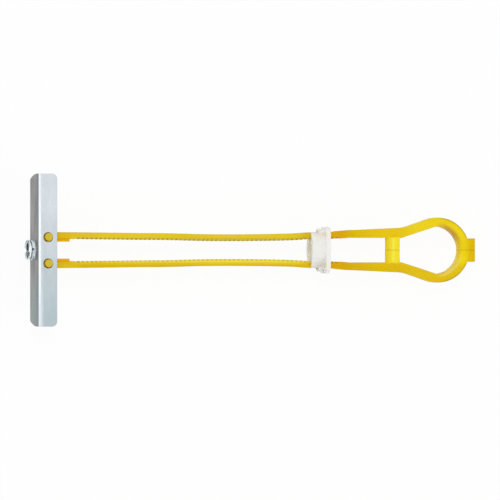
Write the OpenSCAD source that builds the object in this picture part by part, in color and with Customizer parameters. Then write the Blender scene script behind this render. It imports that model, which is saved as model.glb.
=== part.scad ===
// Strap-type tilting toggle anchor for hollow walls.
// +X runs along the bolt, from the metal channel to the pull handle.
// +Y runs along the channel, +Z across its two flanges.
// The origin is on the thread's axis, at the inner face of the channel's web.

/* [Channel] */
// Length of the metal channel
channel_l = 50; // [46:0.5:56]
// Width across the two flanges, which has to pass the hole in the wall
channel_w = 12.4; // [11.6:0.1:13.4]
// Depth from the web's outer face to the flanges' free edges
channel_d = 6.3; // [5.8:0.1:7.4]
// Thickness of the steel sheet
sheet_t = 1.25; // [1:0.05:1.4]
// Outer radius of the two bends
bend_r = 1.5; // [1.45:0.05:2]
// Radius of the flanges' free corners
flange_corner_r = 2; // [1:0.1:3]

/* [Threaded boss] */
// Outer diameter of the boss drawn out of the web
boss_d = 6.7; // [6.2:0.1:7.6]
// Height of the boss above the web
boss_h = 2.4; // [1.8:0.1:3.2]
// Radius of the fillet at the boss's foot
boss_foot_r = 0.5; // [0.2:0.05:0.7]
// Radius of the rounded edge at the boss's mouth
boss_lip_r = 0.25; // [0.1:0.05:0.35]
// Diameter of the tapped hole at the tips of its thread
tap_d = 5; // [4.2:0.1:5.2]
// Width of the chamfer at the boss's mouth
tap_chamfer = 0.35; // [0.1:0.05:0.4]

/* [Strap pins] */
// Distance between the two pins along the channel
pin_pitch = 8.6; // [8.4:0.1:9.4]
// Distance from the web's inner face to the pins' axes
pin_x = 2.2; // [2.1:0.1:2.6]
// Diameter of a pin
pin_d = 2.6; // [2:0.1:2.9]
// Radial running clearance of a pin in its hole
pin_clear = 0.06; // [0.02:0.01:0.1]
// How far a pin stands out of the flange
pin_proud = 0.5; // [0.3:0.05:0.8]
// Width of the lead-in chamfer at a pin's end
pin_chamfer = 0.3; // [0.1:0.05:0.5]
// Clearance between a strap's shoulder and the flange
shoulder_clear = 0.1; // [0.05:0.05:0.3]

/* [Straps] */
// Width of a strap across the flanges
strap_w = 4; // [3.4:0.1:4.2]
// Thickness of the block next to the channel
block_t = 3.1; // [3:0.05:3.4]
// Length of the block from the pin's axis
block_l = 8; // [6:0.1:9]
// Width of the block's inner lug, which is narrower than the strap
lug_w = 3.2; // [2.4:0.1:3.4]
// Thickness of the rail, up to the tips of its teeth
rail_t = 2.25; // [2.1:0.05:2.3]
// Length of the plain rail between the block and the teeth
plain_l = 3.3; // [2:0.1:5]
// Number of teeth on each rail
tooth_n = 58; // [57:1:66]
// Distance from tooth to tooth
tooth_pitch = 1.5; // [1.4:0.02:1.6]
// Height of a tooth
tooth_h = 0.45; // [0.4:0.05:0.6]
// Slant of a tooth's steep face, along the strap
tooth_rake = 0.1; // [0:0.02:0.16]
// Flat length on a tooth's crest
tooth_crest = 0.2; // [0.1:0.02:0.25]

/* [Pull handle] */
// Width of the handle across the flanges
handle_w = 4.4; // [4.2:0.1:4.6]
// Length of the neck, from the last tooth to the crossbar's axis
neck_l = 19.2; // [16:0.2:24]
// Length over which the neck gets thicker, inside and outside
neck_taper_l = 3; // [2:0.5:5]
// Distance from the middle plane to the neck's inner face
neck_in = 4; // [3.8:0.05:4.4]
// Distance from the middle plane to the neck's outer face, past its taper
neck_out = 6.5; // [6.2:0.05:6.8]
// Diameter of the crossbar
crossbar_d = 4.6; // [4.6:0.1:5.2]
// Length of the crossbar's tapered end, which runs into the neck
crossbar_tip_l = 0.8; // [0.4:0.1:1.2]
// How much the crossbar's radius falls along its tapered end
crossbar_taper = 0.4; // [0.1:0.1:0.8]
// Distance from the crossbar's axis to the outer bend of the arm
arm_bend_l = 3.6; // [3:0.1:5]
// Distance from the middle plane to the arm's outer bend
arm_bend_y = 7.35; // [7:0.05:7.8]
// Distance from the middle plane to the arm's inner corner
arm_in_y = 3.67; // [3.4:0.05:4]
// Distance from the crossbar's axis to the centre of the ring
ring_l = 14.8; // [13.6:0.2:18]
// Outer diameter of the ring
ring_d = 21.2; // [20:0.2:24]
// Width of the ring's band, before the hole is shifted
ring_band = 2.9; // [2.4:0.05:3.4]
// How far the ring's hole lies off its centre, which makes the band wider at the tab
hole_shift = 0.6; // [0:0.1:1]
// Length of the end tab beyond the ring
tab_l = 2; // [1.5:0.1:4]
// Width of the end tab over both halves
tab_w = 7.64; // [6:0.1:9]
// Thickness of the end tab, which is thinner than the ring
tab_t = 3.2; // [2.4:0.1:4]
// Gap between the two halves of the handle
half_gap = 0.1; // [0.05:0.05:0.3]

/* [Cap] */
// Number of the tooth that the cap's pawls hold, counted from the channel
cap_tooth = 55; // [40:1:55]
// Length of the cap from its mouth to the outer face of its flange
cap_l = 5.6; // [5.4:0.1:6.6]
// Thickness of the flange
flange_t = 1.4; // [1:0.1:1.8]
// Size of the flange along the channel
flange_y = 15.3; // [14.8:0.1:17]
// Size of the flange across the channel
flange_z = 13.4; // [13:0.1:15]
// Corner radius of the flange
flange_r = 3; // [2:0.1:5]
// How much the sleeve widens at its root, from the ears' front to the flange
root_flare = 0.3; // [0.1:0.05:0.35]
// Length of the ears that bridge the straps, in front of the flange
ear_l = 2; // [1.4:0.1:2.4]
// Thickness of an ear over its strap
ear_t = 1.25; // [0.8:0.05:1.3]
// Width of an ear
ear_w = 7; // [6:0.1:8]
// Radius of an ear's two corners
ear_corner_r = 1.8; // [0.6:0.1:2.2]
// Diameter of the bolt's hole
bore_d = 6.2; // [5.6:0.1:6.3]
// Clearance between a strap's broad faces and its slot
slot_clear = 0.07; // [0.05:0.01:0.1]
// Clearance between a strap's side and its slot
slot_side = 0.1; // [0.05:0.05:0.15]
// Distance from the pawls' free ends to the flange's outer face
pawl_inset = 1.7; // [1.5:0.1:2]
// Length of a pawl's bar along the strap
pawl_l = 2.2; // [1.6:0.1:2.6]
// Flat length on a pawl's crown
pawl_crown = 0.15; // [0.1:0.05:0.2]
// Clearance between a seated pawl and its tooth
pawl_clear = 0.08; // [0.06:0.01:0.1]

/* [Hidden] */
$fn = 64;
over = 1; // how far a cutting shape runs past what it cuts
joint_lap = 0.2; // how far two shapes of one moulding run into each other

free_edge_x = channel_d - sheet_t;
inner_w = channel_w - 2 * sheet_t;
inner_bend_r = bend_r - sheet_t;
pin_y = pin_pitch / 2;
pin_hole_d = pin_d + 2 * pin_clear;
pin_reach = channel_w / 2 + pin_proud;
shoulder_reach = inner_w / 2 - shoulder_clear;

rail_out = pin_y + block_t / 2;
rail_tip = rail_out - rail_t;
rail_root = rail_tip + tooth_h;
block_end_x = pin_x + block_l;
teeth_x = block_end_x + plain_l;
teeth_end_x = teeth_x + tooth_n * tooth_pitch;

handle_x = teeth_end_x + tooth_pitch;
crossbar_x = teeth_end_x + neck_l;
arm_bend_x = crossbar_x + arm_bend_l;
arm_in_x = crossbar_x + crossbar_d / 2;
ring_x = crossbar_x + ring_l;
ring_r = ring_d / 2;
ring_hole_r = ring_r - ring_band;
hole_x = ring_x - hole_shift;
tab_end_x = ring_x + ring_r + tab_l;

// The pawls' free ends stand just short of a tooth's steep face.
held_face_x = teeth_x + cap_tooth * tooth_pitch;
pawl_tip_x = held_face_x - pawl_clear;
cap_end_x = pawl_tip_x + pawl_inset;
cap_x = cap_end_x - cap_l;
cap_flange_x = cap_end_x - flange_t;
ear_x = cap_flange_x - ear_l;
slot_floor = rail_tip - slot_clear;
slot_roof = rail_out + slot_clear;
slot_w = strap_w + 2 * slot_side;
sleeve_r = norm([slot_roof, slot_w / 2]);

// A plate's outline whose corners on the +X side are round.
module right_rounded(x0, x1, w, r) {
    translate([x0, -w / 2]) square([x1 - x0 - r, w]);
    translate([x0, -w / 2 + r]) square([x1 - x0, w - 2 * r]);
    for (side = [-1, 1])
        translate([x1 - r, side * (w / 2 - r)]) circle(r);
}

module rounded_rect(w, h, r) {
    square([w - 2 * r, h], center = true);
    square([w, h - 2 * r], center = true);
    for (sx = [-1, 1], sy = [-1, 1])
        translate([sx * (w / 2 - r), sy * (h / 2 - r)]) circle(r);
}

// ---- Channel: one folded piece of zinc-plated steel sheet ----

module fold_section() {
    difference() {
        mirror([1, 0]) right_rounded(-free_edge_x, sheet_t, channel_w, bend_r);
        mirror([1, 0]) right_rounded(-free_edge_x - over, 0, inner_w, inner_bend_r);
    }
}

module folded_sheet() {
    intersection() {
        rotate([90, 0, 0]) linear_extrude(channel_l, center = true) fold_section();
        linear_extrude(channel_w + over, center = true)
            right_rounded(-sheet_t - over, free_edge_x, channel_l, flange_corner_r);
    }
}

// Half section of the boss, turned about its own axis: r, height above the web.
module boss_profile() {
    boss_r = boss_d / 2;
    lip_x = boss_r - boss_lip_r;
    lip_y = boss_h - boss_lip_r;
    translate([0, -joint_lap]) square([boss_r, lip_y + joint_lap]);
    square([lip_x, boss_h]);
    translate([lip_x, lip_y]) circle(boss_lip_r);
    difference() {
        translate([0, -joint_lap]) square([boss_r + boss_foot_r, boss_foot_r + joint_lap]);
        translate([boss_r + boss_foot_r, boss_foot_r]) circle(boss_foot_r);
    }
}

module tapped_hole() {
    mouth_x = sheet_t + boss_h;
    rotate([0, -90, 0]) {
        translate([0, 0, -over]) cylinder(d = tap_d, h = mouth_x + 2 * over);
        translate([0, 0, mouth_x - tap_chamfer])
            cylinder(d1 = tap_d, d2 = tap_d + 2 * tap_chamfer, h = tap_chamfer);
        translate([0, 0, mouth_x]) cylinder(d = tap_d + 2 * tap_chamfer, h = over);
    }
}

module channel() {
    color("gainsboro")
    difference() {
        union() {
            folded_sheet();
            translate([-sheet_t, 0, 0]) rotate([0, -90, 0]) rotate_extrude() boss_profile();
        }
        tapped_hole();
        for (side = [-1, 1])
            translate([pin_x, side * pin_y, 0])
                cylinder(d = pin_hole_d, h = channel_w + 2 * over, center = true);
    }
}

// ---- Straps: two like mouldings, each with a cross pin, a toothed rail and half a handle ----

module cross_pin() {
    cylinder(d = block_t, h = 2 * shoulder_reach, center = true);
    cylinder(d = pin_d, h = 2 * (pin_reach - pin_chamfer), center = true);
    for (side = [0, 1])
        mirror([0, 0, side]) translate([0, 0, pin_reach - pin_chamfer])
            cylinder(d1 = pin_d, d2 = pin_d - 2 * pin_chamfer, h = pin_chamfer);
}

// A tooth's corners: its steep face looks at the channel, and its ramp falls away from it.
function tooth_points(x) = [
    [x, rail_root], [x + tooth_rake, rail_tip], [x + tooth_rake + tooth_crest, rail_tip]
];

module rail_outline() {
    teeth = [for (i = [0 : tooth_n - 1], p = tooth_points(teeth_x + i * tooth_pitch)) p];
    polygon(concat(
        [[pin_x, rail_out], [pin_x, rail_tip], [teeth_x - tooth_pitch, rail_tip]],
        teeth,
        [[teeth_end_x, rail_root], [teeth_end_x + tooth_rake, rail_tip],
            [handle_x, rail_tip], [handle_x, rail_out]]
    ));
}

module lug_outline() {
    translate([pin_x, rail_out - block_t])
        square([block_l, block_t - rail_t + joint_lap]);
}

// Where the line from a point touches a circle round [x, 0], on the circle's upper side.
function tangent_point(p, x, r) =
    let (d = p - [x, 0], turn = atan2(d[1], d[0]) - acos(r / norm(d)))
    [x + r * cos(turn), r * sin(turn)];

module handle_outer() {
    bend = [arm_bend_x, arm_bend_y];
    touch = tangent_point(bend, ring_x, ring_r);
    polygon([[handle_x - joint_lap, 0], [handle_x - joint_lap, rail_out], [handle_x, rail_out],
        [handle_x + neck_taper_l, neck_out], bend, touch, [ring_x, 0]]);
    translate([ring_x, 0]) circle(ring_r);
}

module handle_hole() {
    polygon([[handle_x - over, -over], [handle_x - over, rail_tip], [handle_x, rail_tip],
        [handle_x + neck_taper_l, neck_in], [crossbar_x, neck_in], [arm_in_x, arm_in_y],
        [hole_x, ring_hole_r], [hole_x, -over]]);
    translate([hole_x, 0]) circle(ring_hole_r);
}

module handle_outline() {
    difference() {
        handle_outer();
        handle_hole();
        translate([handle_x - over, half_gap / 2 - 2 * ring_r])
            square([ring_x + ring_r - handle_x + 2 * over, 2 * ring_r]);
    }
}

// The end tab's half, which starts inside the ring's band.
module tab_outline() {
    start_x = hole_x + ring_hole_r + joint_lap;
    translate([start_x, half_gap / 2]) square([tab_end_x - start_x, (tab_w - half_gap) / 2]);
}

// Half the crossbar: a round peg with a domed end, which stands proud of the neck's faces.
module crossbar_half() {
    r = crossbar_d / 2;
    translate([crossbar_x, half_gap / 2, 0]) rotate([-90, 0, 0]) {
        cylinder(r = r, h = neck_in - half_gap / 2);
        translate([0, 0, neck_in - half_gap / 2])
            cylinder(r1 = r, r2 = r - crossbar_taper, h = crossbar_tip_l);
    }
}

module strap() {
    color("gold") {
        translate([pin_x, pin_y, 0]) cross_pin();
        linear_extrude(strap_w, center = true) rail_outline();
        linear_extrude(lug_w, center = true) lug_outline();
        linear_extrude(handle_w, center = true) handle_outline();
        linear_extrude(tab_t, center = true) tab_outline();
        crossbar_half();
    }
}

module upper_strap() {
    strap();
}

module lower_strap() {
    mirror([0, 1, 0]) strap();
}

// ---- Cap: one natural-coloured moulding that ratchets along both straps ----

// The cap's pieces are drawn with the bolt's axis upright and turned onto X.
module along_x(x) {
    translate([x, 0, 0]) rotate([90, 0, 90]) children();
}

// The plug that enters the wall's hole, and its root, which widens towards the flange.
module sleeve() {
    plug_l = ear_x - cap_x;
    root_r = sleeve_r + root_flare;
    root_end = plug_l + ear_l + joint_lap;
    along_x(cap_x) intersection() {
        rotate_extrude()
            polygon([[0, 0], [sleeve_r, 0], [sleeve_r, plug_l], [root_r, plug_l + ear_l],
                [root_r, root_end], [0, root_end]]);
        translate([0, 0, root_end / 2])
            cube([2 * slot_roof, 2 * root_r + over, root_end + over], center = true);
    }
}

module ears() {
    along_x(ear_x) linear_extrude(ear_l + joint_lap) intersection() {
        circle(slot_roof + ear_t);
        rounded_rect(2 * (slot_roof + ear_t), ear_w, ear_corner_r);
    }
}

module flange() {
    along_x(cap_flange_x) linear_extrude(flange_t) rounded_rect(flange_y, flange_z, flange_r);
}

// One open passage for both straps, which crosses the bolt's hole. Under the ears and the
// flange it has a roof, and along the sleeve it is open at the top and the bottom.
module strap_passage() {
    translate([cap_x - over, -slot_roof, -slot_w / 2])
        cube([cap_l + 2 * over, 2 * slot_roof, slot_w]);
    translate([cap_x - over, -slot_roof - over, -slot_w / 2])
        cube([ear_x - cap_x + over, 2 * (slot_roof + over), slot_w]);
}

// A thin springy bar across the passage, between the bolt and the strap, with a wedge
// that fills the notch in front of the held tooth.
module pawl() {
    foot_x = pawl_tip_x - tooth_pitch + tooth_rake + tooth_crest + pawl_clear;
    crown_x = pawl_tip_x - pawl_crown;
    tip_y = rail_root - pawl_clear;
    bar_x = pawl_tip_x - pawl_l;
    linear_extrude(slot_w + 2 * joint_lap, center = true)
        polygon([[bar_x, bore_d / 2], [bar_x, slot_floor], [foot_x, slot_floor], [crown_x, tip_y],
            [pawl_tip_x, tip_y], [pawl_tip_x, bore_d / 2]]);
}

module cap() {
    color("ivory") {
        difference() {
            union() {
                sleeve();
                ears();
                flange();
            }
            along_x(cap_x - over) cylinder(d = bore_d, h = cap_l + 2 * over);
            strap_passage();
        }
        for (side = [0, 1])
            mirror([0, side, 0]) pawl();
    }
}

channel();
upper_strap();
lower_strap();
cap();
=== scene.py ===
import math

import bmesh
import bpy
from mathutils import Matrix, Vector, noise


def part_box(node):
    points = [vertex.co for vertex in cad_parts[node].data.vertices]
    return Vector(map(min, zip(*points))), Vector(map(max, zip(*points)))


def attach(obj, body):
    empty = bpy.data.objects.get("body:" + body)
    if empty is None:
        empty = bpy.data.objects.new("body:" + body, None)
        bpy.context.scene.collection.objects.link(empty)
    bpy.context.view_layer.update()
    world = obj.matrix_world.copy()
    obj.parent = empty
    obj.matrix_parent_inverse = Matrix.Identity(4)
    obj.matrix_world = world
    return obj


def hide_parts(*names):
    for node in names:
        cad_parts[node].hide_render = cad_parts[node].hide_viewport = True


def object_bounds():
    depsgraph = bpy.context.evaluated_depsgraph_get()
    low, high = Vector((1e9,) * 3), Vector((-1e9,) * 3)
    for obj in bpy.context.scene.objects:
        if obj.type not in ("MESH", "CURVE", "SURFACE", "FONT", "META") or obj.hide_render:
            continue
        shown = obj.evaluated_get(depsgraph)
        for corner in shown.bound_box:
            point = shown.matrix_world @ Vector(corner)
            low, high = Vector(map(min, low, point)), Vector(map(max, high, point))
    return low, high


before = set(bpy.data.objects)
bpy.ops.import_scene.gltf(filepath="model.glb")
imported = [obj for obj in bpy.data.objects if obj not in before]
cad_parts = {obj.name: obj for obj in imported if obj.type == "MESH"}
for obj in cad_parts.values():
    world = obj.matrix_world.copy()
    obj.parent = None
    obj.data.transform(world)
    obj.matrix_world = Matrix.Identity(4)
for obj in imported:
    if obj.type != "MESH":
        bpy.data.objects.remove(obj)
cad_low, cad_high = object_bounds()

MM = 0.001

# ---- Sizes in millimetres, those of the solids where no comment says otherwise ----
channel_low, channel_high = (Vector(corner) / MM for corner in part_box("channel"))
CHANNEL_L = channel_high.y - channel_low.y
CHANNEL_W = channel_high.z - channel_low.z
FREE_EDGE_X = channel_high.x
SHEET = 1.25
BEND_R = 1.5
FREE_CORNER_R = 1.75         # a little sharper than the solid's
FAR_TRIM_START = 1.0         # along the web, from the near bend's end
FAR_TRIM_R = 21.0            # the far corners fall away on this radius, unlike the solid's

BOSS_R = 3.35
BOSS_H = -channel_low.x - SHEET
TAP_R = 2.5
THREAD_DEPTH = 0.42          # the solid's bore has no thread
THREAD_PITCH = 1.0

PIN_X = 2.2
PIN_Y = 4.3
PIN_R = 1.3
PIN_HOLE_R = 1.62            # punched wider than the solid's, with the pins pulled to one side of it
PIN_HOLE_SHIFT = (-0.23, -0.1)
PIN_REACH = CHANNEL_W / 2 + 0.5

RAIL_OUT = 5.85
RAIL_TIP = 3.6
TOOTH_H = 0.53               # notches a little deeper than the solid's
TOOTH_PITCH = 1.5
TOOTH_RAKE = 0.1
TOOTH_CREST = 0.2
TEETH_X = 13.5
TEETH = 58
STRAP_W = 4.0
LUG_W = 3.2
BLOCK_T = 3.1
BLOCK_END_X = 10.4           # the lug runs 0.2 mm further than the solid's
SHOULDER_REACH = 4.85

HANDLE_X = 102.0
HANDLE_W = 4.4
NECK_TAPER = 3.0
NECK_IN = 4.0
NECK_OUT = 6.5
CROSSBAR_X = 119.6           # 0.1 mm nearer the channel than the solid's
CROSSBAR_R = 2.42            # and a little thicker
ARM_BEND = Vector((123.3, 7.35))
ARM_INNER = Vector((122.0, 3.67))
RING_X = 134.5
RING_R = 10.6
HOLE_X = 133.9               # the hole lies off the ring's centre, towards the crossbar
RING_HOLE_R = 7.7
TAB_END_X = 147.1
TAB_HALF_Y = 3.82
TAB_W = 3.2
HALF_GAP = 0.002             # the two halves of the handle all but touch
SPLIT_EDGE = 0.1

CAP_MOUTH_X = 92.02
CAP_EAR_X = 94.22
CAP_FLANGE_X = 96.22
CAP_END_X = 97.62
SLEEVE_R = 6.281
SLOT_ROOF = 5.92
SLOT_W = 4.2
CAP_BORE_R = 3.1
EAR_R = 7.1                  # 0.07 mm lower than the solid's
EAR_HALF_W = 3.5
FLANGE_Y = 15.3
FLANGE_Z = 13.4
FLANGE_CORNER_R = 3.0
PAWL_TIP_X = 95.92

# ---- Camera: a parallel view ----
VIEW_TILT = math.radians(14.5)      # the camera leans towards the channel's web
PHOTO_PX = 500
PX_MM = 0.3264                      # millimetres a pixel
ORIGIN_PX = (37.6, 250.1)           # where the thread's axis meets the web's inner face
CAMERA_DISTANCE = 600 * MM


def link(obj):
    bpy.context.scene.collection.objects.link(obj)
    return obj


def make_camera():
    """Set up so that the thread's axis meets the web at ORIGIN_PX."""
    right = Vector((math.cos(VIEW_TILT), 0, math.sin(VIEW_TILT)))
    up = Vector((0, 1, 0))
    back = right.cross(up)
    centre_px = PHOTO_PX / 2
    across = (centre_px - ORIGIN_PX[0]) * PX_MM * MM
    down = (centre_px - ORIGIN_PX[1]) * PX_MM * MM
    camera = link(bpy.data.objects.new("camera", bpy.data.cameras.new("camera")))
    camera.data.type = "ORTHO"
    camera.data.ortho_scale = PHOTO_PX * PX_MM * MM
    camera.data.clip_start = 10 * MM
    camera.data.clip_end = 5
    place = right * across - up * down + back * CAMERA_DISTANCE
    turn = Matrix((right, up, back)).transposed()
    camera.matrix_world = Matrix.Translation(place) @ turn.to_4x4()
    bpy.context.scene.camera = camera


# ---- Mesh tools: all points are in millimetres ----
def mesh_piece(name, points, faces):
    mesh = bpy.data.meshes.new(name)
    mesh.from_pydata([Vector(point) * MM for point in points], [], faces)
    shape = bmesh.new()
    shape.from_mesh(mesh)
    bmesh.ops.recalc_face_normals(shape, faces=shape.faces)
    shape.to_mesh(mesh)
    shape.free()
    return link(bpy.data.objects.new(name, mesh))


def tube(name, rings):
    """A closed solid through rings of equally many points, with a flat face at each end."""
    count = len(rings[0])
    points = [point for ring in rings for point in ring]
    faces = [tuple(range(count)), tuple(range(len(points) - count, len(points)))]
    for start in range(0, len(points) - count, count):
        for step in range(count):
            after = (step + 1) % count
            faces.append((start + step, start + after, start + count + after, start + count + step))
    return mesh_piece(name, points, faces)


def both_ways(half):
    """A (radius, height) profile and its mirror image below height 0."""
    return [(radius, -height) for radius, height in reversed(half)] + half


def lathe(name, profile, place, steps=64):
    """A closed solid turned from (radius, height) points; place(a, b, h) gives each point its seat."""
    rings = []
    for radius, height in profile:
        turns = [2 * math.pi * step / steps for step in range(steps)]
        rings.append([place(radius * math.cos(turn), radius * math.sin(turn), height) for turn in turns])
    return tube(name, rings)


def block(name, low, high):
    """A box between two corners."""
    corners = [(low[0], low[1]), (high[0], low[1]), (high[0], high[1]), (low[0], high[1])]
    return tube(name, [[(x, y, z) for x, y in corners] for z in (low[2], high[2])])


def bake(obj):
    """Turn the piece's modifiers into its mesh."""
    seen = obj.evaluated_get(bpy.context.evaluated_depsgraph_get())
    mesh = bpy.data.meshes.new_from_object(seen)
    obj.modifiers.clear()
    obj.data = mesh


def combine(obj, operation, *others):
    """Add or cut the others, one by one, and remove them."""
    for other in others:
        modifier = obj.modifiers.new("combine", "BOOLEAN")
        modifier.operation = operation
        modifier.solver = "EXACT"
        modifier.object = other
        bake(obj)
        bpy.data.objects.remove(other)


def soften(obj, width, angle, segments=3):
    """Round the edges that are sharper than an angle."""
    modifier = obj.modifiers.new("soften", "BEVEL")
    modifier.width = width * MM
    modifier.segments = segments
    modifier.limit_method = "ANGLE"
    modifier.angle_limit = math.radians(angle)
    bake(obj)


def shade(obj, angle=32):
    """Smooth shading, apart from edges that are sharper than an angle."""
    for face in obj.data.polygons:
        face.use_smooth = True
    obj.data.set_sharp_from_angle(angle=math.radians(angle))


def finish_piece(obj, body, node, material):
    """Give the piece its material, its body and the node that it replaces."""
    obj.data.materials.clear()
    obj.data.materials.append(material)
    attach(obj, body)
    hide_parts(node)


def wobble(point, size, reach):
    """A small smooth unevenness that depends on the place alone."""
    return reach * noise.noise(Vector(point) / size)


# ---- Materials: every colour zone is placed in the shared frame ----
BUMP_DEPTH = 0.05


class Nodes:
    """Short calls that add and join the nodes of one material."""

    def __init__(self, name):
        self.material = bpy.data.materials.new(name)
        self.material.use_nodes = True
        self.tree = self.material.node_tree
        self.shader = self.tree.nodes["Principled BSDF"]
        self.place = self.tree.nodes.new("ShaderNodeTexCoord").outputs["Object"]

    def add(self, kind, **values):
        made = self.tree.nodes.new("ShaderNode" + kind)
        for key, value in values.items():
            setattr(made, key, value)
        return made

    def join(self, source, target):
        self.tree.links.new(source, target)

    def noise(self, scale, detail, roughness, stretch=None):
        made = self.add("TexNoise")
        made.inputs["Scale"].default_value = scale
        made.inputs["Detail"].default_value = detail
        made.inputs["Roughness"].default_value = roughness
        place = self.place
        if stretch:
            mapping = self.add("Mapping")
            mapping.inputs["Scale"].default_value = stretch
            self.join(place, mapping.inputs["Vector"])
            place = mapping.outputs["Vector"]
        self.join(place, made.inputs["Vector"])
        return made.outputs["Fac"]

    def ramp(self, source, *stops):
        """Colours at places from 0 to 1."""
        made = self.add("ValToRGB")
        elements = made.color_ramp.elements
        while len(elements) < len(stops):
            elements.new(0.5)
        for element, (position, colour) in zip(elements, stops):
            element.position = position
            element.color = (*colour, 1)
        self.join(source, made.inputs["Fac"])
        return made.outputs["Color"]

    def span(self, source, low, high, to_low=0.0, to_high=1.0):
        """The source's values from low to high, turned into values from to_low to to_high."""
        made = self.add("MapRange", interpolation_type="SMOOTHSTEP")
        limits = {"From Min": low, "From Max": high, "To Min": to_low, "To Max": to_high}
        for socket, value in limits.items():
            made.inputs[socket].default_value = value
        self.join(source, made.inputs["Value"])
        return made.outputs["Result"]

    def axis(self, name):
        made = self.add("SeparateXYZ")
        self.join(self.place, made.inputs["Vector"])
        return made.outputs[name]

    def from_plane(self, name, place=0.0):
        """Distance from the plane across an axis, at a place in millimetres."""
        return self.maths("ABSOLUTE", self.maths("SUBTRACT", self.axis(name), place * MM), 0.0)

    def from_axis(self, along, through=(0, 0, 0)):
        """Distance from an axis that runs along X, Y or Z through a point in millimetres."""
        flatten = self.add("Mapping")
        flatten.inputs["Scale"].default_value = tuple(1 - part for part in along)
        flatten.inputs["Location"].default_value = tuple(-place * MM for place in through)
        self.join(self.place, flatten.inputs["Vector"])
        length = self.add("VectorMath", operation="LENGTH")
        self.join(flatten.outputs["Vector"], length.inputs[0])
        return length.outputs["Value"]

    def fade(self, source, low, high, to_low=0.0, to_high=1.0):
        """A mask by place: along an axis, or by a distance, between two places in millimetres."""
        if isinstance(source, str):
            source = self.axis(source)
        return self.span(source, low * MM, high * MM, to_low, to_high)

    def put(self, value, socket):
        """Set a socket to a colour or a number, or join another node's output to it."""
        if isinstance(value, tuple):
            socket.default_value = (*value, 1)
        elif isinstance(value, (int, float)):
            socket.default_value = value
        else:
            self.join(value, socket)

    def maths(self, operation, first, second):
        made = self.add("Math", operation=operation)
        for socket, value in zip(made.inputs, (first, second)):
            self.put(value, socket)
        return made.outputs["Value"]

    def both(self, first, second):
        """The place where two masks meet."""
        return self.maths("MULTIPLY", first, second)

    def blend(self, amount, first, second, kind="MIX"):
        """The first colour, turned by amount into the second; the numbers are a Mix node's colour sockets."""
        made = self.add("Mix", data_type="RGBA", blend_type=kind)
        for socket, value in ((0, amount), (6, first), (7, second)):
            self.put(value, made.inputs[socket])
        return made.outputs[2]

    def glow(self, weight, radius, scale):
        """Light that goes into the plastic and comes out beside the place where it went in."""
        self.shader.inputs["Subsurface Weight"].default_value = weight
        self.shader.inputs["Subsurface Radius"].default_value = radius
        self.shader.inputs["Subsurface Scale"].default_value = scale * MM

    def relief(self, coarse, fine, share, strength):
        """Fine bumps: a coarse noise and a share of a finer one."""
        made = self.add("Bump")
        made.inputs["Strength"].default_value = strength
        made.inputs["Distance"].default_value = BUMP_DEPTH * MM
        self.join(self.maths("ADD", coarse, self.both(fine, share)), made.inputs["Height"])
        self.join(made.outputs["Normal"], self.shader.inputs["Normal"])


def zinc():
    nodes = Nodes("zinc")
    nodes.shader.inputs["Metallic"].default_value = 1.0
    cloudy = nodes.noise(190, 5, 0.6, (1.0, 0.45, 1.0))
    grain = nodes.noise(1500, 3, 0.7)
    fleck = nodes.noise(620, 2, 0.5)
    base = nodes.ramp(cloudy, (0.3, (0.61, 0.65, 0.68)), (0.7, (0.73, 0.785, 0.83)))
    base = nodes.blend(nodes.span(grain, 0.62, 0.72, 0, 0.35), base, (0.42, 0.44, 0.44))
    base = nodes.blend(nodes.span(fleck, 0.72, 0.76, 0, 0.75), base, (0.12, 0.12, 0.10))
    # The flanges are painted darker towards the lower end, as shade in their reflection, and darker along the
    # free edge; the bends are painted an even brighter colour, as a painted highlight.
    lower = nodes.both(nodes.fade("Y", -25, 14, 1.0, 0.0), nodes.fade("X", -0.4, 0.8))
    base = nodes.blend(lower, base, (0.70, 0.78, 0.78), "MULTIPLY")
    base = nodes.blend(nodes.fade("X", 4.85, 4.95, 0, 0.35), base, (0.30, 0.35, 0.38))
    # Painted highlight along the bends.
    base = nodes.blend(nodes.fade("X", -0.3, -0.6), base, (0.67, 0.735, 0.785))
    # The web's outer face is painted darker, as shade, with smudges in it, and greener towards the lower end.
    smudge = nodes.noise(330, 4, 0.6, (1.0, 0.35, 1.0))
    web_shade_and_smudge = nodes.ramp(smudge, (0.40, (0.26, 0.247, 0.24)), (0.62, (0.20, 0.205, 0.22)))
    web_shade_and_smudge = nodes.blend(nodes.fade("Y", -3, -20), web_shade_and_smudge, (0.225, 0.268, 0.270))
    base = nodes.blend(nodes.fade("X", -1.0, -1.15), base, web_shade_and_smudge)
    boss = nodes.fade("X", -1.45, -1.75)
    base = nodes.blend(boss, base, boss_colour(nodes))
    nodes.join(base, nodes.shader.inputs["Base Color"])
    worn = nodes.span(cloudy, 0.3, 0.7, 0.34, 0.46)
    nodes.join(nodes.maths("SUBTRACT", worn, nodes.both(boss, 0.2)), nodes.shader.inputs["Roughness"])
    nodes.relief(nodes.noise(420, 4, 0.6), grain, 0.25, 0.35)
    return nodes.material


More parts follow.
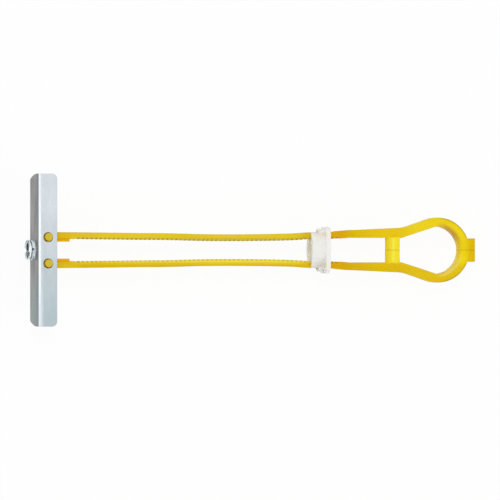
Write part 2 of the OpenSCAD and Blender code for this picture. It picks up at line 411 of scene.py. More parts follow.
def boss_colour(nodes):
    """The boss's side with painted reflections in light and dark streaking, a painted highlight on its bead,
    a painted dark reflection, the mouth's lip, and painted shade in the thread with a lighter strip.
    """
    rim, bore_shade = (0.46, 0.53, 0.56), (0.03, 0.04, 0.045)
    # Painted reflections: light and dark streaking on the side.
    reflection_streaks = nodes.noise(430, 3, 0.6, (1.0, 0.6, 0.6))
    side = nodes.ramp(reflection_streaks, (0.40, (0.68, 0.765, 0.79)), (0.54, (0.46, 0.535, 0.56)),
                      (0.62, (0.07, 0.10, 0.12)))
    # Painted highlight on the bead.
    bead = nodes.fade(nodes.from_plane("X", -3.05), 0.42, 0.18, 0, 0.85)
    side = nodes.blend(bead, side, (0.98, 1.0, 1.0))
    # A painted dark reflection on the side.
    painted_dark_reflection = nodes.fade(nodes.from_axis((0, 0, 1), (-2.35, 0.3, 0)), 0.6, 0.3, 0, 0.85)
    side = nodes.blend(painted_dark_reflection, side, (0.03, 0.05, 0.06))
    side = nodes.blend(nodes.fade("X", -3.55, -3.7, 0, 0.8), side, rim)
    # Painted shade in the thread, with a lighter strip of painted light along its middle.
    shaded = nodes.fade(nodes.from_plane("Y", 0.2), 0.5, 1.0, 0, 0.92)
    thread = nodes.blend(shaded, rim, bore_shade)
    return nodes.blend(nodes.fade(nodes.from_axis((1, 0, 0)), 2.75, TAP_R), side, thread)


# The straps' colour place by place along X, deeper amber behind the cap and on the tab; beside the channel it
# is painted lighter, as painted light against the shade that the channel casts there.
YELLOW_ALONG = ((5, (0.84, 0.59, 0.012)), (10, (0.84, 0.60, 0.016)), (13, (0.81, 0.60, 0.022)),
                (88, (0.81, 0.60, 0.024)), (98, (0.73, 0.41, 0.002)), (102, (0.75, 0.42, 0.002)),
                (106, (0.77, 0.52, 0.005)), (116, (0.84, 0.60, 0.007)), (121, (0.83, 0.58, 0.007)),
                (127, (0.88, 0.68, 0.016)), (143, (0.92, 0.73, 0.008)), (146, (0.79, 0.52, 0.001)))
YELLOW_REACH = 150


def yellow_plastic():
    nodes = Nodes("yellow_plastic")
    level = nodes.from_plane("Y")
    along = nodes.maths("DIVIDE", nodes.axis("X"), YELLOW_REACH * MM)
    base = nodes.ramp(along, *((x / YELLOW_REACH, colour) for x, colour in YELLOW_ALONG))
    cloudy = nodes.noise(160, 4, 0.6, (0.4, 1.0, 1.0))
    base = nodes.blend(nodes.span(cloudy, 0.4, 0.75, 0, 0.3), base, (0.66, 0.40, 0.002))
    base = nodes.blend(nodes.fade(nodes.from_plane("Z"), 5.6, 6.0, 0, 0.9), base, (0.66, 0.50, 0.055))
    base = channel_end_colour(nodes, base, level)
    base = rail_colour(nodes, base, level)
    base = handle_colour(nodes, base, level)
    nodes.join(base, nodes.shader.inputs["Base Color"])
    nodes.shader.inputs["Specular IOR Level"].default_value = 0.06
    nodes.glow(0.12, (1.0, 0.5, 0.05), 0.8)
    fine = nodes.noise(900, 3, 0.6)
    nodes.join(nodes.span(fine, 0.3, 0.7, 0.30, 0.42), nodes.shader.inputs["Roughness"])
    nodes.relief(nodes.noise(260, 3, 0.5), fine, 0.2, 0.25)
    return nodes.material


def channel_end_colour(nodes, base, level):
    """The lug that stands out of the block on its inner side, painted deeper orange as shade, since it is set
    back from the rail's face.
    """
    lug_end = nodes.both(nodes.fade("X", 4.6, 5.0), nodes.fade("X", 10.7, 10.5))
    return nodes.blend(nodes.both(nodes.fade(level, 4.4, 4.0, 0, 0.8), lug_end), base, (0.88, 0.49, 0.006))


def rail_colour(nodes, base, level):
    """Painted shade on the lower rail's outer half, and on the teeth's tips painted shade on the upper rail
    and painted light on the lower rail.
    """
    rails = nodes.both(nodes.fade("X", 11, 16), nodes.fade("X", 98, 94))
    # Painted shade on the lower rail's outer half.
    outer_half_shade = nodes.both(rails, nodes.fade("Y", -4.4, -5.0, 0, 0.8))
    base = nodes.blend(outer_half_shade, base, (0.745, 0.465, 0.002))
    # The teeth's tips: painted shade on the upper rail, painted light on the lower rail.
    crest_light_and_shade = nodes.blend(nodes.fade("Y", -1, 1), (0.91, 0.77, 0.065), (0.66, 0.50, 0.035))
    return nodes.blend(nodes.both(rails, nodes.fade(level, 4.1, 3.95, 0, 0.8)), base, crest_light_and_shade)


def handle_colour(nodes, base, level):
    """Painted light and shade on the handle: shade on its underside, light and a highlight on the crossbar,
    shade on the ring's rim, sheen and shade on its inner wall, and shade along the seam.
    """
    # Painted shade on the handle's underside.
    underside_shade = nodes.both(nodes.fade("Y", -3, -6, 0, 0.48), nodes.fade("X", 98, 106))
    base = nodes.blend(underside_shade, base, (0.70, 0.42, 0.002))
    # Painted light on the crossbar, and a painted highlight along it.
    bar = nodes.both(nodes.fade(nodes.from_axis((0, 1, 0), (CROSSBAR_X, 0, 0)), 3.1, 2.7),
                     nodes.fade(level, 4.5, 3.9, 0, 0.95))
    base = nodes.blend(bar, base, (0.985, 0.80, 0.03))
    gleam = nodes.both(nodes.fade(nodes.from_plane("X", CROSSBAR_X - 0.3), 0.6, 0.15),
                       nodes.fade(level, 3.9, 3.3, 0, 0.7))
    base = nodes.blend(gleam, base, (1.0, 0.90, 0.085))
    beyond = nodes.fade("X", 133, 138)
    # Painted shade on the ring's outer rim.
    rim = nodes.both(nodes.fade(nodes.from_axis((0, 0, 1), (RING_X, 0, 0)), 9.9, 10.55, 0, 0.7),
                     nodes.fade(level, 3, 5))
    base = nodes.blend(nodes.both(rim, beyond), base, (0.42, 0.26, 0.004))
    # Painted sheen and shade on the ring's inner wall: lighter at the bottom, darker at the top.
    wall = nodes.both(nodes.fade(nodes.from_axis((0, 0, 1), (HOLE_X, 0, 0)), 9.3, 8.3, 0, 0.9),
                      nodes.fade(level, 1, 5.5, 0.15, 1))
    wall_sheen_and_shade = nodes.blend(nodes.fade("Y", -3, 1), (0.88, 0.70, 0.13), (0.66, 0.39, 0.05))
    base = nodes.blend(nodes.both(wall, beyond), base, wall_sheen_and_shade)
    # Painted shade along the seam between the halves.
    seam = nodes.both(nodes.fade(level, 0.22, 0.1, 0, 0.32), nodes.fade("X", 114, 115))
    return nodes.blend(seam, base, (0.50, 0.31, 0.004))


def natural_plastic():
    """The cap is painted with the straps' colour where they lie behind it, as light showing through its wall,
    and painted lighter on its far side, as painted light against the shade inside the sleeve.
    """
    nodes = Nodes("natural_plastic")
    level = nodes.from_plane("Y")
    # Painted show-through of the straps behind the wall.
    straps_show_through = nodes.both(nodes.fade(level, 3.0, 4.6), nodes.fade(level, 5.9, 6.6, 1.0, 0.0))
    base = nodes.blend(nodes.both(straps_show_through, 0.5), (0.87, 0.875, 0.85), (0.90, 0.80, 0.68))
    # Painted light on the far side.
    base = nodes.blend(nodes.fade("Z", 0.5, -1.5), base, (0.99, 0.95, 0.90))
    cloudy = nodes.noise(240, 4, 0.6)
    base = nodes.blend(nodes.span(cloudy, 0.4, 0.75, 0, 0.3), base, (0.84, 0.83, 0.78))
    nodes.join(base, nodes.shader.inputs["Base Color"])
    nodes.shader.inputs["Specular IOR Level"].default_value = 0.3
    nodes.glow(0.85, (1.0, 0.92, 0.8), 2.2)
    fine = nodes.noise(800, 3, 0.6)
    nodes.join(nodes.span(fine, 0.3, 0.7, 0.34, 0.48), nodes.shader.inputs["Roughness"])
    nodes.relief(nodes.noise(300, 3, 0.5), fine, 0.2, 0.2)
    return nodes.material


# ---- Channel: a flat blank with round corners, folded, with a drawn and tapped boss ----
FLANGE_U = FREE_EDGE_X + SHEET - BEND_R      # flat length of a flange
BEND_U = math.pi / 2 * BEND_R                # length of a bend along its outer face
WEB_U = CHANNEL_W - 2 * BEND_R
BLANK_U = 2 * (FLANGE_U + BEND_U) + WEB_U
BEND_STEPS = 8
SHEET_EDGE_R = 0.18


def fold(u, y, depth):
    """Where a point of the blank lies once folded.

    u runs over the outer face from the near free edge, and depth from the outer face inwards.
    """
    half_w = CHANNEL_W / 2
    web_x = -SHEET
    if u > BLANK_U / 2:
        x, y, z = fold(BLANK_U - u, y, depth)
        return (x, y, -z)
    if u <= FLANGE_U:
        return (FREE_EDGE_X - u, y, half_w - depth)
    if u <= FLANGE_U + BEND_U:
        turn = (u - FLANGE_U) / BEND_R
        radius = BEND_R - depth
        return (web_x + BEND_R - radius * math.sin(turn), y, half_w - BEND_R + radius * math.cos(turn))
    return (web_x + depth, y, half_w - BEND_R - (u - FLANGE_U - BEND_U))


def blank_outline():
    """The blank's edge for y above 0, from the near free edge to the far one."""
    steps = 8
    half_l = CHANNEL_L / 2
    turns = [math.pi / 2 * step / steps for step in range(steps + 1)]
    rise = [FREE_CORNER_R * (1 - math.sin(turn)) for turn in turns]
    run = [FREE_CORNER_R * (1 - math.cos(turn)) for turn in turns]
    trim_u = FLANGE_U + BEND_U + FAR_TRIM_START
    trim_end = BLANK_U - FLANGE_U
    trimmed = [trim_u + (trim_end - trim_u) * step / (2 * steps) for step in range(2 * steps + 1)]
    fall_end = half_l - (trim_end - trim_u) ** 2 / (2 * FAR_TRIM_R)
    near_corner = [(across, half_l - along) for across, along in zip(run, rise)]
    far_trim = [(u, half_l - (u - trim_u) ** 2 / (2 * FAR_TRIM_R)) for u in trimmed]
    far_corner = [(BLANK_U - across, fall_end - along) for across, along in zip(rise, run)]
    return near_corner + far_trim + far_corner


def folded_sheet():
    """The flat blank, cut into strips at the bends and folded into a U."""
    upper = blank_outline()
    outline = upper + [(u, -y) for u, y in reversed(upper)]
    sheet = tube("channel_visual", [[(u, y, depth) for u, y in outline] for depth in (0, SHEET)])
    soften(sheet, SHEET_EDGE_R, angle=60)
    shape = bmesh.new()
    shape.from_mesh(sheet.data)
    cuts = [FLANGE_U + BEND_U * step / BEND_STEPS for step in range(BEND_STEPS + 1)]
    for u in cuts + [BLANK_U - cut for cut in cuts] + [BLANK_U / 2]:
        bmesh.ops.bisect_plane(shape, geom=shape.verts[:] + shape.edges[:] + shape.faces[:],
                               plane_co=(u * MM, 0, 0), plane_no=(1, 0, 0), dist=1e-8)
    for vert in shape.verts:
        u, y, depth = vert.co / MM
        vert.co = Vector(fold(u, y, depth)) * MM
    bmesh.ops.recalc_face_normals(shape, faces=shape.faces)
    shape.to_mesh(sheet.data)
    shape.free()
    return sheet


def on_web(a, b, height):
    """Seat of a turned piece that stands on the web's outer face."""
    return (-SHEET - height, a, b)


def boss_profile():
    """(Radius, height) points: root in the web, foot fillet, waist, bead and round lip."""
    root, foot_w, foot_h, lip = 0.6, 0.7, 0.55, 0.4
    foot_steps, lip_steps = 6, 5
    profile = [(BOSS_R - 0.3, -root), (BOSS_R + foot_w + 0.05, -root), (BOSS_R + foot_w + 0.05, 0.0)]
    for step in range(1, foot_steps + 1):
        turn = math.pi / 2 * step / foot_steps
        profile.append((BOSS_R + foot_w - foot_w * math.sin(turn), foot_h - foot_h * math.cos(turn)))
    waist = ((-0.02, 0.9), (-0.1, 1.1), (-0.12, 1.25), (-0.03, 1.42), (0.02, 1.6), (0, 1.85))
    profile += [(BOSS_R + swell, height) for swell, height in waist]
    for step in range(1, lip_steps + 1):
        turn = math.pi / 2 * step / lip_steps
        profile.append((BOSS_R - lip + lip * math.cos(turn), BOSS_H - lip + lip * math.sin(turn)))
    return profile + [(TAP_R + 0.45, BOSS_H - 0.02), (TAP_R - 0.6, BOSS_H - 0.02)]


def make_boss():
    """The drawn boss, a little uneven above its foot and with a worn lip."""
    boss = lathe("boss", boss_profile(), on_web, steps=96)
    uneven_x, lip_x = -SHEET - 0.3, -SHEET - 1.9
    for vert in boss.data.vertices:
        x, y, z = vert.co / MM
        if x < uneven_x and math.hypot(y, z) > TAP_R:
            uneven = wobble((x * 1.6, y, z), size=0.9, reach=0.09)
            vert.co.x += 0.8 * uneven * MM if x < lip_x else 0
            vert.co.y *= 1 + uneven / BOSS_R
            vert.co.z *= 1 + uneven / BOSS_R
    return boss


def thread_cutter():
    """A screw-shaped plug: an M6 x 1 thread, cut a little deeper than the solid's plain bore."""
    over, per_turn, around = 0.4, 12, 60
    start, end = -SHEET - BOSS_H - over, over
    rings = []
    count = int((end - start) / THREAD_PITCH * per_turn)
    for row in range(count + 1):
        x = start + (end - start) * row / count
        ring = []
        for step in range(around):
            turn = 2 * math.pi * step / around
            phase = (x / THREAD_PITCH - turn / (2 * math.pi)) % 1
            ridge = min(1.0, max(0.0, 1.35 - 2.9 * abs(phase - 0.5)))
            radius = TAP_R + THREAD_DEPTH * ridge
            ring.append((x, radius * math.cos(turn), radius * math.sin(turn)))
        rings.append(ring)
    return tube("thread", rings)


def mouth_cutter():
    """The countersink at the boss's mouth."""
    profile = ((-0.3, -0.9), (0.05, -0.45), (0.55, 0.1), (0.55, 0.6))
    return lathe("mouth", [(TAP_R + wider, BOSS_H + higher) for wider, higher in profile], on_web)


def pin_hole_cutter(y):
    """Both holes of a pin, each with a small lead at the flange's outer face."""
    lead = 0.05
    face = CHANNEL_W / 2
    half = [(PIN_HOLE_R, face - SHEET - 1), (PIN_HOLE_R, face - lead),
            (PIN_HOLE_R + lead, face), (PIN_HOLE_R + lead, face + 1)]
    shift_x, shift_y = PIN_HOLE_SHIFT

    def seat(a, b, height):
        return (PIN_X + shift_x + a, y + shift_y + b, height)

    return lathe("pin_hole", both_ways(half), seat)


def make_channel(material):
    channel = folded_sheet()
    combine(channel, "UNION", make_boss())
    pin_holes = (pin_hole_cutter(y) for y in (PIN_Y, -PIN_Y))
    combine(channel, "DIFFERENCE", thread_cutter(), mouth_cutter(), *pin_holes)
    shade(channel, angle=28)
    finish_piece(channel, "channel", "channel", material)


# ---- Straps: a loft from the cross pin along the teeth, the neck and the arm, round half the ring ----
EDGE_R = 0.28
SMALL_EDGE_R = 0.2
RING_EASE = 0.2              # how much rounder the ring's near inner edge is at the split
RING_EASE_MORE = 0.9         # and how much more than that halfway between its top and the split
NECK_START_X = HANDLE_X - 4
WIDENING_L = 5               # from the crossbar on, the handle grows wider over this length
# How far the straps are sprung outwards, place by place along X
BOW = ((0, 0.0), (7, 0.03), (24, -0.14), (34, -0.26), (43, -0.32), (54, -0.6), (62, -0.69), (70, -0.67),
       (80, -0.54), (86, -0.38), (91, -0.06), (98, 0.04), (101, 0.2), (105, 0.05), (109, 0.0))


def bow(x):
    """How far the strap lies outside its straight line: a smooth curve through BOW."""
    slopes = [(after[1] - before[1]) / (after[0] - before[0]) for before, after in zip(BOW, BOW[2:])]
    slopes = [0.0, *slopes, 0.0]
    legs = zip(BOW, BOW[1:], slopes, slopes[1:])
    for (x0, bow0), (x1, bow1), slope0, slope1 in legs:
        if x <= x1:
            run = x1 - x0
            part = max(0.0, (x - x0) / run)
            rest = 1 - part
            return (bow0 * (1 + 2 * part) * rest * rest + bow1 * (3 - 2 * part) * part * part
                    + slope0 * run * part * rest * rest - slope1 * run * part * part * rest)
    return 0.0


def strap_ring(inner, outer, half_w, edge=EDGE_R, ease=0.0, steps=4):
    """One section of a strap, with round edges; ease widens the rounding of the near inner one."""
    span = (outer - inner).length
    across = (outer - inner) / span
    wide, deep = edge + ease, edge + 1.3 * ease
    corners = ((span - edge, half_w - edge, edge, edge), (wide, half_w - deep, wide, deep),
               (edge, edge - half_w, edge, edge), (span - edge, edge - half_w, edge, edge))
    ring = []
    for quarter, (far, side, reach, rise) in enumerate(corners):
        for step in range(steps + 1):
            turn = math.pi / 2 * (quarter + step / steps)
            point = inner + across * (far + reach * math.cos(turn))
            ring.append((point.x, point.y, side + rise * math.sin(turn)))
    return ring


def strap_point(x, y):
    """A point of the strap, with its bow."""
    return Vector((x, y + bow(x)))


def rail_stations():
    """Inner point, outer point and half width of each section: the block's end, the plain rail, the teeth."""
    root = RAIL_TIP + TOOTH_H
    stations = [(x, RAIL_TIP) for x in (PIN_X, 4, 6, 8, 10, 11, TEETH_X - TOOTH_PITCH)]
    for tooth in range(TEETH + 1):
        x = TEETH_X + tooth * TOOTH_PITCH
        stations += [(x, root), (x + TOOTH_RAKE, RAIL_TIP), (x + TOOTH_RAKE + TOOTH_CREST, RAIL_TIP)]
    stations[-1] = (HANDLE_X - 0.9, RAIL_TIP)
    return [(strap_point(x, y), strap_point(x, neck_out(x)), STRAP_W / 2) for x, y in stations]


def neck_out(x):
    """Height of the outer face: level along the rail, then rising to the arm's bend."""
    rise_x = HANDLE_X + NECK_TAPER
    if x < NECK_START_X:
        return RAIL_OUT
    if x < rise_x:
        part = (x - NECK_START_X) / (rise_x - NECK_START_X)
        return RAIL_OUT + (NECK_OUT - RAIL_OUT) * part * part * (3 - 2 * part) ** 0.5
    return NECK_OUT + (ARM_BEND.y - NECK_OUT) * (x - rise_x) / (ARM_BEND.x - rise_x)


def neck_in(x):
    """Height of the inner face, which steps out from the teeth's tips to the neck."""
    part = min(1.0, max(0.0, (x - HANDLE_X) / NECK_TAPER))
    return RAIL_TIP + (NECK_IN - RAIL_TIP) * part * part * (3 - 2 * part)


def ring_point(centre_x, radius, degrees):
    turn = math.radians(degrees)
    return Vector((centre_x + radius * math.cos(turn), radius * math.sin(turn)))


def touch_degrees(point, radius):
    """Where the line from a point touches the ring's circle, on its upper side."""
    away = point - Vector((RING_X, 0))
    return math.degrees(math.atan2(away.y, away.x) - math.acos(radius / away.length))


def rounded_corner(before, corner, after, reach, steps):
    """Points of a smooth curve that cuts a corner, from reach before it to reach after it."""
    start = corner + (before - corner).normalized() * reach
    end = corner + (after - corner).normalized() * reach
    curve = []
    for step in range(steps + 1):
        part = step / steps
        curve.append(start * (1 - part) ** 2 + corner * 2 * part * (1 - part) + end * part ** 2)
    return curve


def even_points(path, count):
    """The path's points again, spread evenly along it."""
    lengths = [0.0]
    for first, second in zip(path, path[1:]):
        lengths.append(lengths[-1] + (second - first).length)
    spread, leg = [], 0
    for step in range(count + 1):
        goal = lengths[-1] * step / count
        while leg < len(path) - 2 and lengths[leg + 1] < goal:
            leg += 1
        part = (goal - lengths[leg]) / (lengths[leg + 1] - lengths[leg])
        spread.append(path[leg].lerp(path[leg + 1], part))
    return spread


def neck_pairs(steps=12):
    """Inner and outer points along the neck, up to just before the crossbar's axis."""
    end_x = CROSSBAR_X - 1.5
    places = [HANDLE_X + (end_x - HANDLE_X) * step / steps for step in range(steps + 1)]
    return [(strap_point(x, neck_in(x)), strap_point(x, neck_out(x))) for x in places]


def arm_pairs(last_in, last_out, steps=26):
    """Inner and outer points from the neck's end over the arm's bends to the ring's top."""
    touch = touch_degrees(ARM_BEND, RING_R)
    ring_touch = ring_point(RING_X, RING_R, touch)
    hole_top = ring_point(HOLE_X, RING_HOLE_R, 90)
    inner_bend = ARM_INNER + Vector((0, 0.2))
    inner = [last_in] + rounded_corner(last_in, inner_bend, hole_top, reach=0.5, steps=4) + [hole_top]
    outer = [last_out] + rounded_corner(last_out, ARM_BEND, ring_touch, reach=1.4, steps=8)
    outer += [ring_point(RING_X, RING_R, touch + (90 - touch) * step / 6) for step in range(7)]
    return list(zip(even_points(inner, steps), even_points(outer, steps)))[1:]


def ring_pairs(steps=36):
    """Inner and outer points from the ring's top to just before the split."""
    pairs = []
    for step in range(1, steps + 1):
        degrees = 90 * (1 - step / steps)
        pair = [ring_point(HOLE_X, RING_HOLE_R, degrees), ring_point(RING_X, RING_R, degrees)]
        for point in pair:
            point.y = max(point.y, HALF_GAP / 2 + SPLIT_EDGE)
        pairs.append(tuple(pair))
    return pairs


def handle_stations():
    """Sections of the neck, the arm and half the ring, with the split's chamfer as the last one."""
    neck = neck_pairs()
    ring = ring_pairs()
    stations = [(inner, outer, half_width(outer.x), EDGE_R, inner_ease(inner))
                for inner, outer in neck + arm_pairs(*neck[-1]) + ring]
    inner, outer = (Vector((point.x, HALF_GAP / 2)) for point in ring[-1])
    inset = Vector((SPLIT_EDGE, 0))
    split = (inner + inset, outer - inset, HANDLE_W / 2 - SPLIT_EDGE, EDGE_R, RING_EASE)
    return stations + [split]


def inner_ease(point):
    """The ring's near inner edge is rounded most halfway between its top and the split."""
    if point.x < HOLE_X:
        return 0.0
    turn = math.atan2(point.y, point.x - HOLE_X)
    if turn < math.pi / 4:
        return RING_EASE + RING_EASE_MORE * math.sin(2 * turn)
    return (RING_EASE + RING_EASE_MORE) * math.sin(2 * turn)


def half_width(x):
    """The neck is as narrow as the rail, and the arm and the ring are wider."""
    part = min(1.0, max(0.0, (x - CROSSBAR_X) / WIDENING_L))
    return STRAP_W / 2 + (HANDLE_W - STRAP_W) / 2 * part * part * (3 - 2 * part)


def cross_pin():
    """The pin through both flanges, with its shoulders inside them and its rounded ends outside."""
    chamfer = 0.3
    half = [(BLOCK_T / 2, SHOULDER_REACH), (PIN_R, SHOULDER_REACH), (PIN_R, PIN_REACH - chamfer),
            (PIN_R - 0.06, PIN_REACH - 0.12), (PIN_R - chamfer, PIN_REACH - 0.02), (PIN_R - 0.6, PIN_REACH)]

    def seat(a, b, height):
        return (PIN_X + a, PIN_Y + bow(PIN_X) + b, height)

    return lathe("cross_pin", both_ways(half), seat, steps=48)


def lug():
    """The narrower lug on the block's inner side, which makes up its full thickness."""
    lead = 0.15
    rings = []
    for x, drop in ((PIN_X, 0), (5, 0), (BLOCK_END_X - lead, 0), (BLOCK_END_X, lead)):
        inner = strap_point(x, RAIL_OUT - BLOCK_T + drop)
        outer = strap_point(x, RAIL_OUT - 1)
        rings.append(strap_ring(inner, outer, LUG_W / 2, SMALL_EDGE_R))
    return tube("lug", rings)


def crossbar_peg():
    """Half the crossbar, whose domed end stands proud of the neck's faces."""
    dome, dome_steps = 1.3, 6
    split = HALF_GAP / 2
    profile = [(CROSSBAR_R - 0.07, split), (CROSSBAR_R, split + SPLIT_EDGE), (CROSSBAR_R, NECK_IN)]
    for step in range(1, dome_steps + 1):
        turn = math.pi / 2 * step / (dome_steps + 0.5)      # which leaves a small flat top
        profile.append((CROSSBAR_R * math.cos(turn), NECK_IN + dome * math.sin(turn)))

    def seat(a, b, height):
        return (CROSSBAR_X + a, height, b)

    return lathe("crossbar", profile, seat, steps=56)


def end_tab():
    """Half the end tab, from inside the ring's band to its softened end."""
    rings = []
    root_x = RING_X + RING_HOLE_R + 1.2
    for x, shrink in ((root_x, 0), (TAB_END_X - 0.5, 0), (TAB_END_X - 0.15, 0), (TAB_END_X, 0.12)):
        inner, outer = Vector((x, HALF_GAP / 2 + shrink)), Vector((x, TAB_HALF_Y - shrink))
        rings.append(strap_ring(inner, outer, TAB_W / 2 - shrink, SMALL_EDGE_R))
    return tube("tab", rings)


def make_strap(name, side, material):
    stations = rail_stations() + handle_stations()
    strap = tube(name + "_visual", [strap_ring(*station) for station in stations])
    combine(strap, "UNION", cross_pin(), lug(), crossbar_peg(), end_tab())
    if side < 0:
        for vert in strap.data.vertices:
            vert.co.y *= -1
        strap.data.flip_normals()
    shade(strap)
    finish_piece(strap, name, name, material)


# ---- Cap: one moulding with an arched mouth, made solid and then evened out ----
CAP_LEAN = -0.085        # the near side stands a little further towards the channel
MOUTH_LEAD = 0.3         # how far the sleeve's mouth stands in front of the solid's
END_LEAD = 0.2           # how far the flange's end stands behind the solid's
CAP_SINK = 0.3           # how far the sleeve and the ears run into the flange
CAP_CUT = 2.0            # how far a cutter stands out of the cap
VOXEL = 0.11


def cap_ring(x, radius, flat_y, flat_z, steps=96):
    """A circle across the strap, cut flat at flat_y and flat_z."""
    ring = []
    for step in range(steps):
        turn = 2 * math.pi * step / steps
        y = max(-flat_y, min(flat_y, radius * math.cos(turn)))
        z = max(-flat_z, min(flat_z, radius * math.sin(turn)))
        ring.append((x, y, z))
    return ring


def cap_sleeve():
    """The sleeve, from its softened mouth to the fillet that runs into the flange."""
    mouth = CAP_MOUTH_X - MOUTH_LEAD
    sections = ((mouth, 0.2), (mouth + 0.08, 0.08), (mouth + 0.25, 0.0), (CAP_EAR_X + 0.6, 0.0),
                (CAP_FLANGE_X - 0.5, -0.06), (CAP_FLANGE_X - 0.1, -0.2), (CAP_FLANGE_X + CAP_SINK, -0.36))
    rings = [cap_ring(x, SLEEVE_R - inset, SLOT_ROOF + 0.02 - inset, SLEEVE_R + 1) for x, inset in sections]
    return tube("cap_visual", rings)


def cap_ears():
    """The two ears in front of the flange, which bridge the straps."""
    edge = 0.35
    sections = ((CAP_EAR_X, edge), (CAP_EAR_X + 0.1, 0.12), (CAP_EAR_X + edge, 0),
                (CAP_FLANGE_X + CAP_SINK, 0))
    return tube("ears", [cap_ring(x, EAR_R - inset, EAR_R, EAR_HALF_W - inset) for x, inset in sections])


def flange_outline(inset, steps=12):
    """The flange's rounded rectangle across the strap, drawn in by inset."""
    corner = FLANGE_CORNER_R - inset
    half_y, half_z = FLANGE_Y / 2 - inset, FLANGE_Z / 2 - inset
    points = []
    for quarter, (side_y, side_z) in enumerate(((1, 1), (-1, 1), (-1, -1), (1, -1))):
        for step in range(steps + 1):
            turn = math.pi / 2 * (quarter + step / steps)
            points.append((side_y * (half_y - corner) + corner * math.cos(turn),
                           side_z * (half_z - corner) + corner * math.sin(turn)))
    return points


def cap_flange():
    edge = 0.45
    end = CAP_END_X + END_LEAD
    levels = ((CAP_FLANGE_X, 0.15), (CAP_FLANGE_X + 0.12, 0.0),
              (end - edge, 0.0), (end - 0.13, 0.13), (end, edge))
    return tube("flange", [[(x, y, z) for y, z in flange_outline(inset)] for x, inset in levels])


def pawl(side):
    """A thin springy bar across the passage, with a wedge that comes up to the teeth's tips.

    The wedge takes back the cap's lean, which comes later, so that it stays square to the teeth.
    """
    low, floor, crown = CAP_BORE_R - 0.06, RAIL_TIP - 0.35, RAIL_TIP
    bar, ramp, flat = 2.2, 1.12, 0.2
    outline = [(PAWL_TIP_X - bar, low), (PAWL_TIP_X - bar, floor), (PAWL_TIP_X - ramp, floor),
               (PAWL_TIP_X - flat, crown), (PAWL_TIP_X, crown), (PAWL_TIP_X, low)]
    reach = SLOT_W / 2 + 0.3
    return tube("pawl", [[(x - CAP_LEAN * z, side * y, z) for x, y in outline] for z in (-reach, reach)])


def make_cap(material):
    cap = cap_sleeve()
    combine(cap, "UNION", cap_ears(), cap_flange())
    half_slot = SLOT_W / 2
    start, end = CAP_MOUTH_X - CAP_CUT, CAP_END_X + CAP_CUT
    passage = block("passage", (start, -SLOT_ROOF, -half_slot), (end, SLOT_ROOF, half_slot))
    open_slot = block("slot", (start, -EAR_R, -half_slot), (CAP_EAR_X, EAR_R, half_slot))
    bore = tube("bore", [cap_ring(x, CAP_BORE_R, CAP_BORE_R, CAP_BORE_R) for x in (start, end)])
    combine(cap, "DIFFERENCE", passage, open_slot, bore)
    combine(cap, "UNION", pawl(1), pawl(-1))
    remesh = cap.modifiers.new("even", "REMESH")
    remesh.mode = "VOXEL"
    remesh.voxel_size = VOXEL * MM
    smooth = cap.modifiers.new("smooth", "SMOOTH")
    smooth.factor = 0.5
    smooth.iterations = 4
    bake(cap)
    for vert in cap.data.vertices:
        vert.co.x += CAP_LEAN * vert.co.z
    shade(cap, angle=60)
    finish_piece(cap, "cap", "cap", material)


# ---- Floor, sky and lamps ----
FLOOR_Z = cad_low[2]
FLOOR_SIZE = 3.0
PAPER = (0.93, 0.93, 0.93, 1)
WHITE_SHARE = 0.94           # the rest is paper, which keeps the object's shadow
SKY_SEEN, SKY_LIGHT = 1.0, 0.55
LAMP_AIM = Vector((70 * MM, 0, 0))
# Name, place and size in metres, power in watts, and whether gloss shows the lamp
LAMPS = (("key", (-0.1, 0.45, 0.8), 0.5, 2.7, False),
         ("fill", (0.7, -0.5, 0.5), 0.6, 2.4, False),
         ("side", (-0.85, 0.05, 0.33), 0.4, 0.8, True))


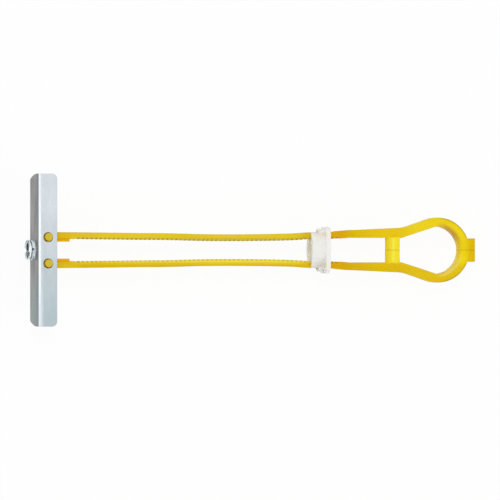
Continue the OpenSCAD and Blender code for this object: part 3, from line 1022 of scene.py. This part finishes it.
def paper():
    """Pale paper that camera, gloss and glass see as white."""
    material = bpy.data.materials.new("paper")
    material.use_nodes = True
    tree = material.node_tree
    tree.nodes.remove(tree.nodes["Principled BSDF"])
    diffuse = tree.nodes.new("ShaderNodeBsdfDiffuse")
    diffuse.inputs["Color"].default_value = PAPER
    white = tree.nodes.new("ShaderNodeEmission")
    white.inputs["Strength"].default_value = 1.0
    paths = tree.nodes.new("ShaderNodeLightPath")
    seen = paths.outputs["Is Camera Ray"]
    for kind in ("Is Glossy Ray", "Is Transmission Ray"):
        either = tree.nodes.new("ShaderNodeMath")
        either.operation = "MAXIMUM"
        tree.links.new(seen, either.inputs[0])
        tree.links.new(paths.outputs[kind], either.inputs[1])
        seen = either.outputs["Value"]
    share = tree.nodes.new("ShaderNodeMath")
    share.operation = "MULTIPLY"
    share.inputs[1].default_value = WHITE_SHARE
    tree.links.new(seen, share.inputs[0])
    mix = tree.nodes.new("ShaderNodeMixShader")
    tree.links.new(share.outputs["Value"], mix.inputs["Fac"])
    tree.links.new(diffuse.outputs["BSDF"], mix.inputs[1])
    tree.links.new(white.outputs["Emission"], mix.inputs[2])
    tree.links.new(mix.outputs["Shader"], tree.nodes["Material Output"].inputs["Surface"])
    return material


def make_floor():
    mesh = bpy.data.meshes.new("floor")
    half = FLOOR_SIZE / 2
    corners = ((-half, -half), (half, -half), (half, half), (-half, half))
    mesh.from_pydata([(x, y, FLOOR_Z) for x, y in corners], [], [(0, 1, 2, 3)])
    mesh.materials.append(paper())
    link(bpy.data.objects.new("floor", mesh))


def make_sky():
    """A white sky, which lights the object less than it shows."""
    world = bpy.data.worlds.new("sky")
    bpy.context.scene.world = world
    world.use_nodes = True
    tree = world.node_tree
    background = tree.nodes["Background"]
    background.inputs["Color"].default_value = (1, 1, 1, 1)
    paths = tree.nodes.new("ShaderNodeLightPath")
    level = tree.nodes.new("ShaderNodeMapRange")
    level.inputs["To Min"].default_value = SKY_SEEN
    level.inputs["To Max"].default_value = SKY_LIGHT
    tree.links.new(paths.outputs["Is Diffuse Ray"], level.inputs["Value"])
    tree.links.new(level.outputs["Result"], background.inputs["Strength"])


def make_lamp(name, place, size, power, shows_in_gloss):
    lamp = link(bpy.data.objects.new(name, bpy.data.lights.new(name, "AREA")))
    lamp.data.shape = "SQUARE"
    lamp.data.size = size
    lamp.data.energy = power
    lamp.visible_glossy = shows_in_gloss
    lamp.location = place
    lamp.rotation_euler = (LAMP_AIM - lamp.location).to_track_quat("-Z", "Y").to_euler()


# ---- The scene ----
make_camera()
make_floor()
make_sky()
for lamp_values in LAMPS:
    make_lamp(*lamp_values)
bpy.context.scene.view_settings.view_transform = "Standard"

yellow_finish = yellow_plastic()
make_channel(zinc())
make_strap("upper_strap", 1, yellow_finish)
make_strap("lower_strap", -1, yellow_finish)
make_cap(natural_plastic())
